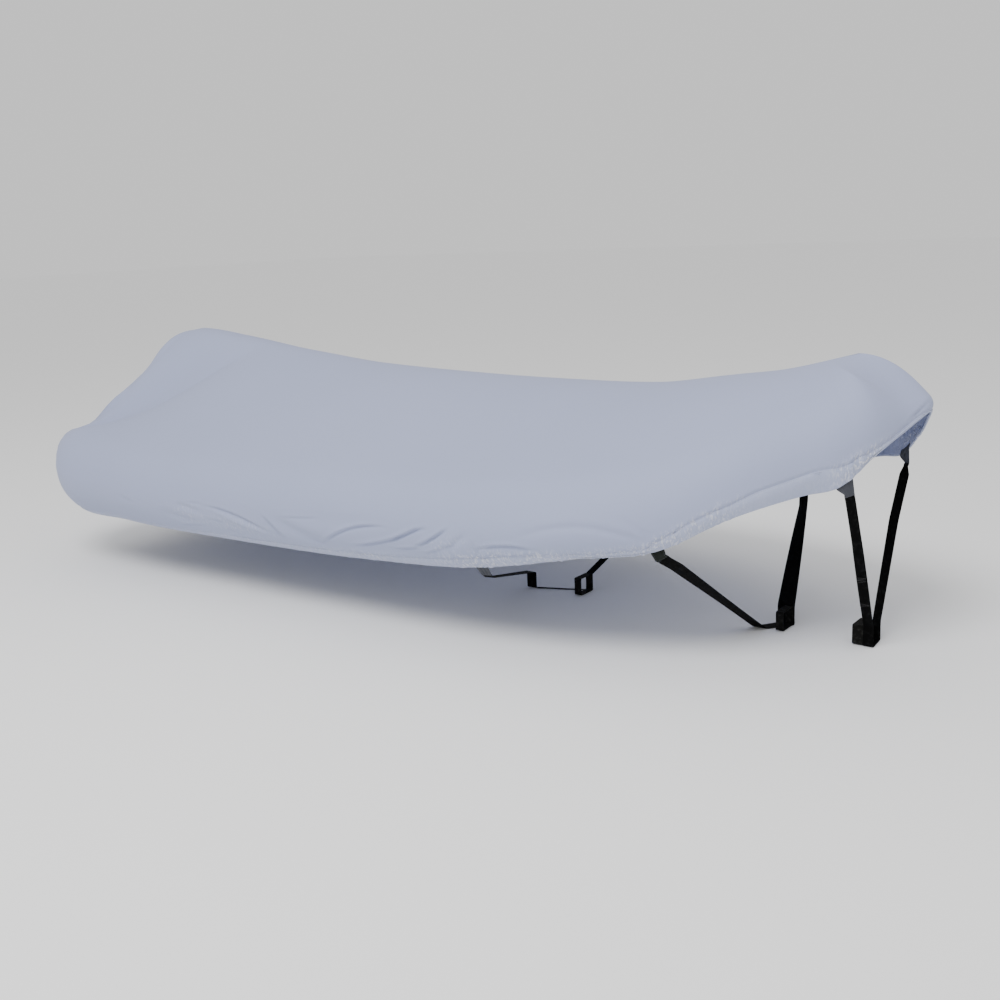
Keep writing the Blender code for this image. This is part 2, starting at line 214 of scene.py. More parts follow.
# Creases, each a straight or bowed line on the sheet. side is -1 for the near side and 1
# for the far side; the line runs from along, up to to_along, to_up, with along measured
# from the middle of the stern and up from the hem. bow is how far its middle stands off,
# wide the half width of its trough, deep the trough's depth, less than nothing for a
# ridge, and lip the share of that depth by which the cloth above it stands proud.
CREASE_COLUMNS = ("side", "along", "up", "to_along", "to_up", "bow", "wide", "deep",
                  "lip")
CREASES = (
    (-1, 1.660, 0.245, 1.735, 0.215, 0.000, 0.0075, 0.0045, 0.4),
    (-1, 2.155, 0.260, 2.240, 0.260, 0.000, 0.0060, 0.0040, 0.3),
    (-1, 2.080, 0.245, 2.225, 0.220, 0.000, 0.0140, 0.0060, 0.2),
    (-1, 1.970, 0.195, 2.165, 0.155, 0.000, 0.0200, 0.0070, 0.2),
    (-1, 2.020, 0.125, 2.230, 0.145, 0.000, 0.0055, 0.0040, 0.6),
    (-1, 2.270, 0.190, 2.360, 0.180, 0.000, 0.0060, 0.0040, 0.3),
    (-1, 2.270, 0.250, 2.640, 0.165, 0.020, 0.0065, 0.0090, 0.2),
    (-1, 2.320, 0.235, 2.650, 0.145, 0.000, 0.0160, -0.0060, 0.0),
    (-1, 2.355, 0.150, 2.440, 0.120, 0.000, 0.0065, 0.0060, 0.3),
    (-1, 2.635, 0.245, 2.730, 0.135, 0.005, 0.0065, 0.0085, 0.5),
    (-1, 2.535, 0.305, 2.545, 0.290, 0.000, 0.0055, 0.0030, 0.4),
    (-1, 2.545, 0.290, 2.530, 0.260, 0.000, 0.0055, 0.0030, 0.4),
    (-1, 2.770, 0.245, 2.960, 0.255, 0.000, 0.0060, 0.0040, 0.3),
    (-1, 2.700, 0.240, 3.000, 0.130, -0.010, 0.0280, 0.0100, 0.1),
    (-1, 2.870, 0.150, 2.975, 0.125, 0.000, 0.0055, 0.0040, 0.3),
    (-1, 2.945, 0.130, 3.315, 0.230, 0.035, 0.0065, 0.0090, 0.5),
    (-1, 3.130, 0.140, 3.410, 0.190, -0.005, 0.0060, 0.0085, 0.5),
    (-1, 3.350, 0.175, 3.500, 0.220, 0.000, 0.0065, 0.0120, 0.5),
    (-1, 3.455, 0.215, 3.540, 0.220, 0.000, 0.0070, 0.0050, 0.3),
    (-1, 3.475, 0.150, 3.630, 0.215, -0.005, 0.0060, 0.0110, 0.5),
    (-1, 3.490, 0.110, 3.605, 0.135, 0.000, 0.0055, 0.0055, 0.4),
    (-1, 3.580, 0.140, 3.650, 0.145, 0.000, 0.0055, 0.0045, 0.3),
    (-1, 3.625, 0.130, 3.715, 0.190, 0.000, 0.0140, 0.0060, 0.2),
    (-1, 3.360, 0.135, 3.485, 0.140, 0.000, 0.0055, 0.0055, 0.6),
    (-1, 3.755, 0.125, 3.980, 0.090, 0.015, 0.0065, 0.0095, 0.4),
    (-1, 3.750, 0.165, 3.725, 0.090, 0.000, 0.0055, 0.0050, 0.6),
    (-1, 3.760, 0.135, 3.745, 0.090, 0.000, 0.0055, 0.0040, 0.5),
    (-1, 3.840, 0.075, 3.970, 0.060, 0.000, 0.0055, 0.0040, 0.3),
    (-1, 3.930, 0.155, 4.390, 0.070, 0.040, 0.0140, 0.0050, 0.2),
    (-1, 4.425, 0.070, 4.325, 0.165, 0.000, 0.0090, 0.0030, 0.3),
    (-1, 4.940, 0.055, 5.030, 0.075, -0.005, 0.0060, 0.0055, 0.5),
    (-1, 5.390, 0.025, 5.500, 0.050, 0.000, 0.0060, 0.0060, 0.4),
    (-1, 5.235, 0.390, 5.365, 0.100, 0.000, 0.0350, -0.0050, 0.0),
    (-1, 3.080, 0.110, 3.420, 0.090, 0.000, 0.0220, -0.0045, 0.0),
    (-1, 2.795, 0.250, 3.315, 0.235, 0.010, 0.0350, 0.0050, 0.0),
    (-1, 3.545, 0.270, 4.195, 0.230, 0.010, 0.0450, 0.0040, 0.0),
    (-1, 2.365, 0.775, 2.375, 0.745, 0.000, 0.0300, 0.0030, 0.0),
    (-1, 2.640, 0.680, 2.660, 0.660, 0.000, 0.0300, 0.0030, 0.0),
    (-1, 3.715, 0.715, 3.745, 0.685, 0.000, 0.0300, 0.0035, 0.0),
    (-1, 3.840, 0.755, 3.875, 0.735, 0.000, 0.0300, 0.0030, 0.0),
    (1, 1.695, 0.235, 1.815, 0.205, 0.000, 0.0090, 0.0055, 0.4),
    (1, 2.195, 0.250, 2.445, 0.190, 0.005, 0.0090, 0.0070, 0.5),
    (1, 2.545, 0.225, 2.775, 0.150, 0.005, 0.0075, 0.0080, 0.5),
    (1, 3.045, 0.150, 3.355, 0.230, 0.015, 0.0090, 0.0080, 0.5),
    (1, 3.415, 0.140, 3.635, 0.205, 0.000, 0.0075, 0.0085, 0.5),
    (1, 3.795, 0.125, 4.015, 0.100, 0.015, 0.0075, 0.0080, 0.4),
    (1, 3.755, 0.145, 3.735, 0.085, 0.000, 0.0055, 0.0045, 0.3),
    (1, 4.405, 0.070, 4.215, 0.150, -0.005, 0.0090, 0.0070, 0.5),
    (1, 4.495, 0.070, 4.675, 0.100, 0.005, 0.0105, 0.0055, 0.4),
    (1, 2.895, 0.255, 3.495, 0.240, 0.010, 0.0400, 0.0055, 0.0),
    (1, 5.235, 0.390, 5.365, 0.100, 0.000, 0.0350, -0.0050, 0.0),
)
# How sharply a crease dies out towards its ends, and its lip's place and half width, both
# as shares of the crease's own half width.
CREASE_FADE = 2.2
LIP_PLACE = 1.4
LIP_WIDE = 1.3


def crease_depth(side, along, up):
    """How far the creases press the sheet in at each point."""
    depth = np.zeros(np.broadcast(along, up).shape)
    for crease in with_names(CREASE_COLUMNS, CREASES):
        if crease["side"] != side:
            continue
        start = np.array([crease["along"], crease["up"]])
        way = np.array([crease["to_along"], crease["to_up"]]) - start
        length = np.linalg.norm(way)
        way /= length
        t = ((along - start[0]) * way[0] + (up - start[1]) * way[1]) / length
        off = (up - start[1]) * way[0] - (along - start[0]) * way[1]
        off = (off - crease["bow"] * 4 * t * (1 - t)) / crease["wide"]
        fade = np.exp(-(CREASE_FADE * (t - 0.5)) ** 4)
        lip = crease["lip"] * np.exp(-(off / LIP_WIDE - LIP_PLACE) ** 2)
        shape = np.exp(-off ** 2) - lip
        depth += crease["deep"] * fade * shape
    return depth


# The hem's seam wanders a little, as the casing is wider where the hem hangs free.
SEAM_COLUMNS = ("along", "up")
SEAM = (
    (0.00, 0.060),
    (1.20, 0.070),
    (2.70, 0.090),
    (3.30, 0.090),
    (3.85, 0.075),
    (3.95, 0.065),
    (4.10, 0.040),
    (4.20, 0.030),
    (4.40, 0.030),
    (4.42, 0.040),
    (4.45, 0.050),
    (4.55, 0.065),
    (4.70, 0.060),
    (4.80, 0.075),
    (4.90, 0.080),
    (5.00, 0.085),
    (5.05, 0.085),
    (5.15, 0.060),
    (5.20, 0.035),
    (5.25, 0.020),
    (5.30, 0.015),
    (5.51, 0.015),
)
CASING_LAP = 0.012


def seam_at(along):
    seam = dict(zip(SEAM_COLUMNS, np.array(SEAM).T))
    return np.interp(along, seam["along"], seam["up"])


# Where the cord in the hem gathers the cloth most; reach is how far the gathers spread
# along the hem to both sides and deep how far they stand up.
GATHER_COLUMNS = ("side", "along", "reach", "deep")
GATHERS = (
    (-1, 2.90, 0.90, 0.0008),
    (-1, 3.17, 0.11, 0.0016),
    (-1, 3.71, 0.13, 0.0026),
    (-1, 4.10, 0.24, 0.0028),
    (-1, 4.44, 0.13, 0.0026),
    (-1, 4.66, 0.08, 0.0018),
    (-1, 5.17, 0.09, 0.0034),
    (1, 2.90, 0.90, 0.0009),
    (1, 3.71, 0.15, 0.0026),
    (1, 4.14, 0.30, 0.0018),
    (1, 4.44, 0.14, 0.0026),
    (1, 5.16, 0.10, 0.0032),
)
RESTING_GATHER = 0.0003
# Puckers along the hem: how far apart, how far each strays and leans, its half width and
# its size. The beats are only there to make them uneven.
PUCKER_SPACING = 0.024
PUCKER_STRAY = 0.45
PUCKER_LEAN = 0.012
PUCKER_HALF, PUCKER_HALF_VARIES = 0.0065, 0.003
PUCKER_SIZE, PUCKER_SIZE_VARIES = 0.35, 0.65
STRAY_BEAT, LEAN_BEAT, HALF_BEAT, SIZE_BEAT = 2.4, 1.7, 3.1, 5.3


def gather_depth(side, along):
    """How deep the gathers stand at each place along the hem."""
    strength = RESTING_GATHER + np.zeros_like(along)
    for gather in with_names(GATHER_COLUMNS, GATHERS):
        if gather["side"] == side:
            away = (along - gather["along"]) / gather["reach"]
            strength += gather["deep"] * np.exp(-away ** 2)
    return strength


def pucker(side, along, share):
    """Small uneven gathers across the hem, deeper by the tabs; share leans them."""
    ripple = np.zeros_like(along * share)
    for k in range(int(LENGTH / PUCKER_SPACING)):
        stray = PUCKER_STRAY * math.sin(k * STRAY_BEAT + side)
        middle = PUCKER_SPACING * (k + 0.5 + stray)
        lean = PUCKER_LEAN * math.sin(k * LEAN_BEAT)
        half = PUCKER_HALF + PUCKER_HALF_VARIES * math.sin(k * HALF_BEAT + 1)
        size = PUCKER_SIZE + PUCKER_SIZE_VARIES * math.sin(k * SIZE_BEAT + 2 * side)
        ripple += size * np.exp(-((along - middle - lean * share) / half) ** 2)
    return gather_depth(side, along) * ripple


# The stitching pulls the sheet in along the seam, more in some places than in others,
# and the gathers run on over it and die out above.
SEAM_DIP = 0.0052
SEAM_WIDE = 0.0075
SEAM_VARIES = 0.25
SEAM_BEATS = (9.1, 3.7)
GATHER_ABOVE = 0.024
GATHER_ABOVE_SHARE = 1.3
DEEPEST_GATHER = 0.0034


def seam_pull(side, along, up):
    """How far the seam's stitching and the gathers draw the sheet in at each point."""
    off = up - seam_at(along)
    quick, slow = SEAM_BEATS
    uneven = (1 - SEAM_VARIES
              + SEAM_VARIES * np.sin(along * quick + side) * np.sin(along * slow))
    fade = np.exp(-(np.maximum(off, 0) / GATHER_ABOVE) ** 2) * (off > -CASING_LAP)
    return (SEAM_DIP * uneven * np.exp(-(off / SEAM_WIDE) ** 2)
            - GATHER_ABOVE_SHARE * fade * pucker(side, along, 1 + off / GATHER_ABOVE))


# Patches above the hem where the cloth is crumpled by handling; amount is from none to
# one, reach is how far a patch spreads along the hem and rise how far up and down.
CRUMPLE_COLUMNS = ("side", "along", "up", "reach", "rise", "amount")
CRUMPLES = (
    (-1, 2.12, 0.20, 0.12, 0.060, 0.30),
    (-1, 2.45, 0.17, 0.20, 0.045, 0.38),
    (-1, 3.62, 0.15, 0.10, 0.035, 0.30),
    (-1, 3.80, 0.10, 0.07, 0.040, 0.25),
    (1, 2.40, 0.18, 0.22, 0.050, 0.30),
)


def gathering(side, along, up):
    """How finely the cloth is crumpled, from none to one: most of all by the cord."""
    off = np.maximum(up - seam_at(along), 0)
    amount = (np.clip(gather_depth(side, along) / DEEPEST_GATHER, 0, 1)
              * np.exp(-(off / GATHER_ABOVE) ** 2))
    for patch in with_names(CRUMPLE_COLUMNS, CRUMPLES):
        if patch["side"] == side:
            away = (along - patch["along"]) / patch["reach"]
            above = (up - patch["up"]) / patch["rise"]
            amount = amount + patch["amount"] * np.exp(-away ** 2 - above ** 2)
    return np.clip(amount, 0, 1)


# Creases and gathers die out over this far from the stern's and the bow's middle, where
# the two sides meet.
CALM_RUN = 0.08
LEAST_LENGTH = 1e-9


def surface(side, along, ups):
    """Points and outward normals of one side; ups has a row of distances per along."""
    grid = np.empty(ups.shape + (3,))
    for i, (a, row) in enumerate(zip(along, ups)):
        line, travel, _ = girth_line(station_of(a))
        for k in range(3):
            grid[i, :, k] = np.interp(row, travel, line[:, k])
    outward = np.cross(np.gradient(grid, axis=1), np.gradient(grid, axis=0))
    outward /= np.maximum(np.linalg.norm(outward, axis=2), LEAST_LENGTH)[..., None]
    calm = np.clip(np.minimum(along, LENGTH - along) / CALM_RUN, 0, 1)[:, None]
    depth = crease_depth(side, along[:, None], ups) + seam_pull(side, along[:, None], ups)
    grid -= outward * (depth * calm)[..., None]
    flip = (1, side, 1)
    return grid * flip, outward * flip


# The sheet's mesh is finest low on its sides, where the creases are. Each row gives
# where a run of columns ends and how many it has.
COLUMN_RUNS = ((1.55, 30), (2.05, 20), (2.75, 52), (2.92, 8), (3.72, 90), (3.80, 10),
               (4.00, 20), (4.50, 60), (5.04, 34), (5.24, 24), (LENGTH, 14))
FINE_END = 0.29
FINE_SHARE = 0.6
FINE_ROWS = 46
ROLL_ROWS = 8
TOP_ROWS = 11


def cover_columns():
    ends = [0.0] + [end for end, _ in COLUMN_RUNS]
    runs = [np.linspace(start, end, count + 1)[1:]
            for start, (end, count) in zip(ends, COLUMN_RUNS)]
    return np.r_[0.0, np.concatenate(runs)]


def cover_rows(along):
    """Distances up from the hem of the cover's rows: fine below, coarser on top."""
    _, travel, roll_end = girth_line(station_of(along))
    lowest = seam_at(along) - CASING_LAP
    fine_end = min(FINE_END, lowest + FINE_SHARE * (roll_end - lowest))
    fine = np.linspace(lowest, fine_end, FINE_ROWS + 1)
    roll = np.linspace(fine_end, roll_end, ROLL_ROWS + 1)
    top = np.linspace(roll_end, travel[-1], TOP_ROWS + 1)
    return np.r_[fine, roll[1:], top[1:]]


MERGE_DISTANCE = 0.00002


def object_from(name, mesh):
    """A smooth object in the scene with the shape of a bmesh, which is freed."""
    for face in mesh.faces:
        face.smooth = True
    data = bpy.data.meshes.new(name)
    mesh.to_mesh(data)
    mesh.free()
    thing = bpy.data.objects.new(name, data)
    bpy.context.scene.collection.objects.link(thing)
    return thing


def sheet_from_grid(name, points, uvs, closed=False, gathered=None):
    """A cloth mesh: a flat grid whose vertices move to the given columns of points."""
    cells = (points.shape[0] - 1, points.shape[1] - 1)
    mesh = bmesh.new()
    weave = mesh.loops.layers.uv.new("cut")
    drawn = mesh.verts.layers.float.new("gathered")
    bmesh.ops.create_grid(mesh, x_segments=cells[0], y_segments=cells[1], size=0.5)
    place = {}
    for vert in mesh.verts:
        place[vert] = (round((vert.co.x + 0.5) * cells[0]),
                       round((vert.co.y + 0.5) * cells[1]))
    for face in mesh.faces:
        for loop in face.loops:
            loop[weave].uv = uvs[place[loop.vert]]
    for vert, at in place.items():
        vert.co = points[at]
        if gathered is not None:
            vert[drawn] = gathered[at]
    bmesh.ops.remove_doubles(mesh, verts=mesh.verts, dist=MERGE_DISTANCE)
    if closed:
        bmesh.ops.recalc_face_normals(mesh, faces=mesh.faces)
    return object_from(name, mesh)


def thicken(thing, thickness, offset=-1):
    solid = thing.modifiers.new("thickness", "SOLIDIFY")
    solid.thickness = thickness
    solid.offset = offset
    solid.use_even_offset = False
    return thing


along = cover_columns()
ups = np.array([cover_rows(a) for a in along])
near, _ = surface(-1, along, ups)
far, _ = surface(1, along, ups)
for half in (near, far):
    half[[0, -1], :, 1] = 0
    half[:, -1, 1] = 0
ridge_line = (near[:, -1] + far[:, -1]) / 2
near[:, -1] = far[:, -1] = ridge_line
girth = np.concatenate([near, far[:, -2::-1]], axis=1)
both_ups = np.concatenate([ups, ups[:, -2::-1]], axis=1)
cut = np.stack([np.repeat(along[:, None], both_ups.shape[1], 1), both_ups], axis=2)
gathered = np.concatenate([gathering(-1, along[:, None], ups),
                           gathering(1, along[:, None], ups)[:, -2::-1]], axis=1)
cover = thicken(sheet_from_grid("cover_cloth", girth, cut, gathered=gathered), CLOTH)


# A wave texture of scale 1 repeats after this many metres.
WAVE_PERIOD = math.pi / 10


def node_tree(name):
    made = bpy.data.materials.new(name)
    made.use_nodes = True
    return made, made.node_tree.nodes, made.node_tree.links


def set_sockets(node, **values):
    """Set a node's sockets; _ stands for a space in a socket's name."""
    for name, value in values.items():
        node.inputs[name.replace("_", " ")].default_value = value


def add_node(nodes, kind, **values):
    made = nodes.new(f"ShaderNode{kind}")
    set_sockets(made, **values)
    return made


def product(nodes, links, first, second):
    """The socket that holds two sockets' values multiplied."""
    made = nodes.new("ShaderNodeMath")
    made.operation = "MULTIPLY"
    links.new(first, made.inputs[0])
    links.new(second, made.inputs[1])
    return made.outputs["Value"]


def mixed(nodes, links, share, first, second):
    """The socket that mixes first and second, each a colour or a socket, by share."""
    made = nodes.new("ShaderNodeMix")
    made.data_type = "RGBA"
    for name, tone in (("A", first), ("B", second)):
        if isinstance(tone, tuple):
            made.inputs[name].default_value = (*tone, 1)
        else:
            links.new(tone, made.inputs[name])
    links.new(share, made.inputs["Factor"])
    return made.outputs["Result"]


def bumped(nodes, links, height, strength, distance, normal=None):
    """The normal socket of a bump by height, on top of an earlier normal."""
    made = add_node(nodes, "Bump", Strength=strength, Distance=distance)
    links.new(height, made.inputs["Height"])
    if normal is not None:
        links.new(normal, made.inputs["Normal"])
    return made.outputs["Normal"]


def cloth_material(name, dark, light, mottle_scale, thread, crumple, roughness, sheen,
                   shine=0.5):
    """Woven cloth: two tones in soft clouds, a plain weave and a fine crumple.

    thread is the weave's pitch, and crumple how fine and how deep the crumple is.
    """
    made, nodes, links = node_tree(name)
    shader = nodes["Principled BSDF"]
    set_sockets(shader, Roughness=roughness, Sheen_Weight=sheen, Sheen_Roughness=0.5,
                Specular_IOR_Level=shine)
    where = nodes.new("ShaderNodeTexCoord")
    clouds = add_node(nodes, "TexNoise", Scale=mottle_scale, Detail=3)
    links.new(where.outputs["Object"], clouds.inputs["Vector"])
    links.new(mixed(nodes, links, clouds.outputs["Fac"], dark, light),
              shader.inputs["Base Color"])
    waves = []
    for direction in ("X", "Y"):
        wave = add_node(nodes, "TexWave", Scale=WAVE_PERIOD / thread)
        wave.bands_direction = direction
        links.new(where.outputs["UV"], wave.inputs["Vector"])
        waves.append(wave.outputs["Fac"])
    woven = bumped(nodes, links, product(nodes, links, *waves), strength=0.25,
                   distance=thread / 4)
    folds = add_node(nodes, "TexNoise", Scale=crumple[0], Detail=4, Roughness=0.55)
    links.new(where.outputs["Object"], folds.inputs["Vector"])
    links.new(bumped(nodes, links, folds.outputs["Fac"], strength=1.0,
                     distance=crumple[1], normal=woven), shader.inputs["Normal"])
    return made


# The finest gathers, in the cloth's own directions: how much they lean and how many stand
# in a metre along and up, how deep they are, and from where to where their tops turn pale
# with a painted highlight, and how pale at most.
FINE_LEAN = 0.6
FINE_COUNTS = (120, 48, 1)
FINE_DEPTH = 0.007
HIGHLIGHT_FROM, HIGHLIGHT_TO, HIGHLIGHT_SHARE = 0.50, 0.66, 0.9


def add_gathers_and_highlights(made, pale):
    """Crisp gathers, finer than the mesh, where the cord draws the cloth; their tops have a
    painted highlight.
    """
    nodes, links = made.node_tree.nodes, made.node_tree.links
    shader = nodes["Principled BSDF"]
    colour = shader.inputs["Base Color"].links[0].from_socket
    normal = shader.inputs["Normal"].links[0].from_socket
    where = nodes.new("ShaderNodeTexCoord")
    stretch = add_node(nodes, "Mapping", Rotation=(0, 0, FINE_LEAN), Scale=FINE_COUNTS)
    links.new(where.outputs["UV"], stretch.inputs["Vector"])
    rows = add_node(nodes, "TexNoise", Scale=1.0, Detail=2, Distortion=0.9)
    links.new(stretch.outputs["Vector"], rows.inputs["Vector"])
    amount = nodes.new("ShaderNodeAttribute")
    amount.attribute_name = "gathered"
    height = product(nodes, links, rows.outputs["Fac"], amount.outputs["Fac"])
    links.new(bumped(nodes, links, height, strength=1.0, distance=FINE_DEPTH,
                     normal=normal), shader.inputs["Normal"])
    # Painted highlight: the gathers' tops are mixed towards a pale tone.
    highlight_tops = add_node(nodes, "MapRange", From_Min=HIGHLIGHT_FROM, From_Max=HIGHLIGHT_TO,
                    To_Max=HIGHLIGHT_SHARE)
    links.new(rows.outputs["Fac"], highlight_tops.inputs["Value"])
    share = product(nodes, links, highlight_tops.outputs["Result"], amount.outputs["Fac"])
    links.new(mixed(nodes, links, share, colour, pale), shader.inputs["Base Color"])


# The colour of the painted highlight on the gathers' tops.
GATHER_HIGHLIGHT_TONE = (0.70, 0.71, 0.78)
cover_cloth = cloth_material("cover_cloth", dark=(0.325, 0.368, 0.530),
                             light=(0.368, 0.404, 0.590), mottle_scale=0.9,
                             thread=0.0009, crumple=(9.0, 0.003), roughness=0.72,
                             sheen=0.08)
add_gathers_and_highlights(cover_cloth, GATHER_HIGHLIGHT_TONE)
cover.data.materials.append(cover_cloth)
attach(cover, "root")
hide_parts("cover")

# ---- Hem casing ----------------------------------------------------------------------
# The cover's edge is folded back and sewn down as a casing for a drawcord, which rounds
# the very edge. The cord gathers the cloth into small puckers, most of all by the tabs.
CASING_STEP = 0.0055
CASING_PROUD = 0.0008
CASING_BACK = 0.0026
# Places round the casing, from its outer sewn edge down to the cord and up inside:
# share is the height as a share of the casing, lift a distance added to it, and out is
# how far it stands off the sheet's outer face.
CASING_COLUMNS = ("share", "lift", "out")
CASING_PROFILE = (
    (1.00, 0.0000, -0.0006),
    (1.00, -0.0010, CASING_PROUD),
    (0.85, 0.0000, 0.0016),
    (0.60, 0.0000, 0.0026),
    (0.35, 0.0000, 0.0030),
    (0.00, 0.0120, 0.0022),
    (0.00, 0.0070, 0.0030),
    (0.00, 0.0020, 0.0026),
    (0.00, -0.0010, 0.0000),
    (0.00, 0.0010, -0.0034),
    (0.00, 0.0060, -0.0044),
    (0.00, 0.0120, -0.0036),
    (0.50, 0.0000, -CASING_BACK),
    (0.96, 0.0000, -CASING_BACK),
    (1.00, 0.0000, -0.0006),
)
# The puckers on the casing's outside end a little above its seam. CASING_CUT is the seam
# height that its weave is laid out for, and PROBE a step up the sheet that shows how it
# faces.
PUCKER_END = 1.1
CASING_CUT = 0.07
PROBE = 0.0005
casing_profile = with_names(CASING_COLUMNS, CASING_PROFILE)


def casing_half(side, along):
    """Points round the casing on one side, one row of profile places per column."""
    seams = seam_at(along)
    heights = np.array([[place["share"] * seam + place["lift"]
                         for place in casing_profile] for seam in seams])
    ups, below = np.maximum(heights, 0.0), np.minimum(heights, 0.0)
    flat = np.array([np.linspace(0, seam, 3) for seam in seams])
    base, normal = surface(side, along, flat)
    down = base[:, 0] - base[:, 1]
    down /= np.linalg.norm(down, axis=1)[:, None]
    points = np.empty(ups.shape + (3,))
    for j, place in enumerate(casing_profile):
        share = ups[:, j] / seams
        spot, _ = surface(side, along, ups[:, j, None] + np.array([0, PROBE]))
        lift = place["out"] + (pucker(side, along, share) * (place["out"] > 0)
                               * np.clip(PUCKER_END - share, 0, 1))
        outward = normal[:, 0] * (1 - share)[:, None] + normal[:, 2] * share[:, None]
        outward /= np.linalg.norm(outward, axis=1)[:, None]
        points[:, j] = spot[:, 0] + outward * lift[:, None] - down * below[:, j, None]
    return points


half_columns = round(LENGTH / CASING_STEP)
along = np.linspace(0, LENGTH, half_columns + 1)
near_casing = casing_half(-1, along)
far_casing = casing_half(1, along)
for half in (near_casing, far_casing):
    half[[0, -1], :, 1] = 0
    half[0, :, :] = near_casing[0]
    half[-1, :, :] = near_casing[-1]
ring = np.concatenate([near_casing, far_casing[-2::-1]], axis=0)
runs = np.r_[along, 2 * LENGTH - along[-2::-1]]
shares = np.array([place["share"] * CASING_CUT + place["lift"]
                   for place in casing_profile])
casing_cut = np.stack(np.meshgrid(runs, shares, indexing="ij"), axis=2)
drawn_in = np.concatenate([gathering(-1, along, 0), gathering(1, along, 0)[-2::-1]])
casing = sheet_from_grid("hem_casing", ring, casing_cut, closed=True,
                         gathered=np.repeat(drawn_in[:, None], ring.shape[1], 1))
# The casing is the cover's cloth, painted a little lighter as a painted highlight where its
# rounded edge catches the light.
lit_casing_cloth = cloth_material("lit_casing_cloth", dark=(0.350, 0.395, 0.555),
                              light=(0.410, 0.445, 0.620), mottle_scale=6.0,
                              thread=0.0009, crumple=(60.0, 0.0012), roughness=0.68,
                              sheen=0.1)
add_gathers_and_highlights(lit_casing_cloth, GATHER_HIGHLIGHT_TONE)
casing.data.materials.append(lit_casing_cloth)
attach(casing, "root")

# ---- Stitching -----------------------------------------------------------------------
# Grey thread in a straight lockstitch holds the casing down, just below its sewn edge.
STITCH_PITCH = 0.0065
STITCH_LENGTH = 0.0045
THREAD = 0.0011
STITCH_BELOW = (0.004, 0.003)


def sew(name, points, outward, pitch, length, thread, material):
    """A row of stitches along a line of points, lying on the cloth that they hold."""
    run = np.r_[0, np.cumsum(np.linalg.norm(np.diff(points, axis=0), axis=1))]
    spots = np.arange(pitch / 2, run[-1], pitch)
    centre = np.stack([np.interp(spots, run, points[:, k]) for k in range(3)], 1)
    ahead = np.stack([np.interp(spots + pitch / 4, run, points[:, k])
                      for k in range(3)], 1)
    facing = np.stack([np.interp(spots, run, outward[:, k]) for k in range(3)], 1)
    mesh = bmesh.new()
    for spot, forward, out in zip(centre, ahead, facing):
        way = Vector(forward - spot).normalized()
        out = Vector(out)
        out = (out - way * out.dot(way)).normalized()
        turn = Matrix((way, out.cross(way), out)).transposed().to_4x4()
        size = Matrix.Diagonal((length / 2, thread / 2, thread / 2, 1))
        bmesh.ops.create_icosphere(mesh, subdivisions=1, radius=1,
                                   matrix=Matrix.Translation(Vector(spot)) @ turn @ size)
    thing = object_from(name, mesh)
    thing.data.materials.append(material)
    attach(thing, "root")
    return thing


THREAD_DARKER, THREAD_LIGHTER = 0.8, 1.15


def thread_material(name, colour):
    """Spun thread, mottled finely round its colour."""
    made, nodes, links = node_tree(name)
    shader = nodes["Principled BSDF"]
    set_sockets(shader, Roughness=0.55)
    where = nodes.new("ShaderNodeTexCoord")
    twist = add_node(nodes, "TexNoise", Scale=900)
    links.new(where.outputs["Object"], twist.inputs["Vector"])
    tones = [tuple(c * share for c in colour) for share in (THREAD_DARKER, THREAD_LIGHTER)]
    links.new(mixed(nodes, links, twist.outputs["Fac"], *tones),
              shader.inputs["Base Color"])
    return made


grey_thread = thread_material("grey_thread", (0.24, 0.25, 0.29))
for side, side_name in ((-1, "near"), (1, "far")):
    ups = np.array([seam_at(along) - below for below in STITCH_BELOW]).T
    line, outward = surface(side, along, ups)
    line = line[:, 0] + outward[:, 0] * CASING_PROUD
    row = sew(f"seam_stitches_{side_name}", line, outward[:, 0], STITCH_PITCH,
              STITCH_LENGTH, THREAD, grey_thread)

# ---- Tabs ----------------------------------------------------------------------------
# Tapered tabs of doubled dark cloth, sewn in behind the hem at three places on each side.
# Each narrows to the width of the webbing that is sewn to its foot.
TAB_CLOTH = 0.0018
# In the table, first and last are the sections of the tab's top corners, foot the middle
# of its lower end, ply how much it is ridged lengthwise by the pull of the strap and cut
# its flat size.
TAB_COLUMNS = ("name", "first", "last", "foot_x", "foot_across", "foot_height",
               "foot_width", "ply", "cloth", "cut")
TABS = (
    ("bow", 13.88, 14.38, 1.925, 0.285, -0.315, 0.036, 0.0007, "grey_tab_cloth",
     (0.065, 0.075)),
    ("middle", 10.95, 11.13, 1.388, 0.610, -0.525, 0.048, 0.0009, "dark_tab_cloth",
     (0.050, 0.065)),
    ("stern", 8.92, 9.02, 0.675, 0.695, -0.662, 0.038, 0.0012, "grey_tab_cloth",
     (0.055, 0.095)),
)
TAB_TUCK = 0.018
TAB_BEHIND = 0.0060
TAB_ROOT = 0.008
TAB_WAIST = 0.55
TAB_STUB = 0.012
TAB_ACROSS = 20
TAB_DOWN = 28
TAB_PROBE = 0.004
TAB_RIDGES = 3.4
TAB_RIDGE_SHIFT = 0.6
TAB_STRAIN = 0.9
# A tab's stitches run this many rows of its mesh in from its edges and start below the
# hem. TAB_STITCH is their pitch, length and thread; TAB_STITCH_OFF is how far they stand
# off, as a share of the tab's thickness.
TAB_STITCH_INSET = 2
TAB_STITCH_START = 8
TAB_STITCH = (0.0050, 0.0034, 0.0010)
TAB_STITCH_OFF = 0.55

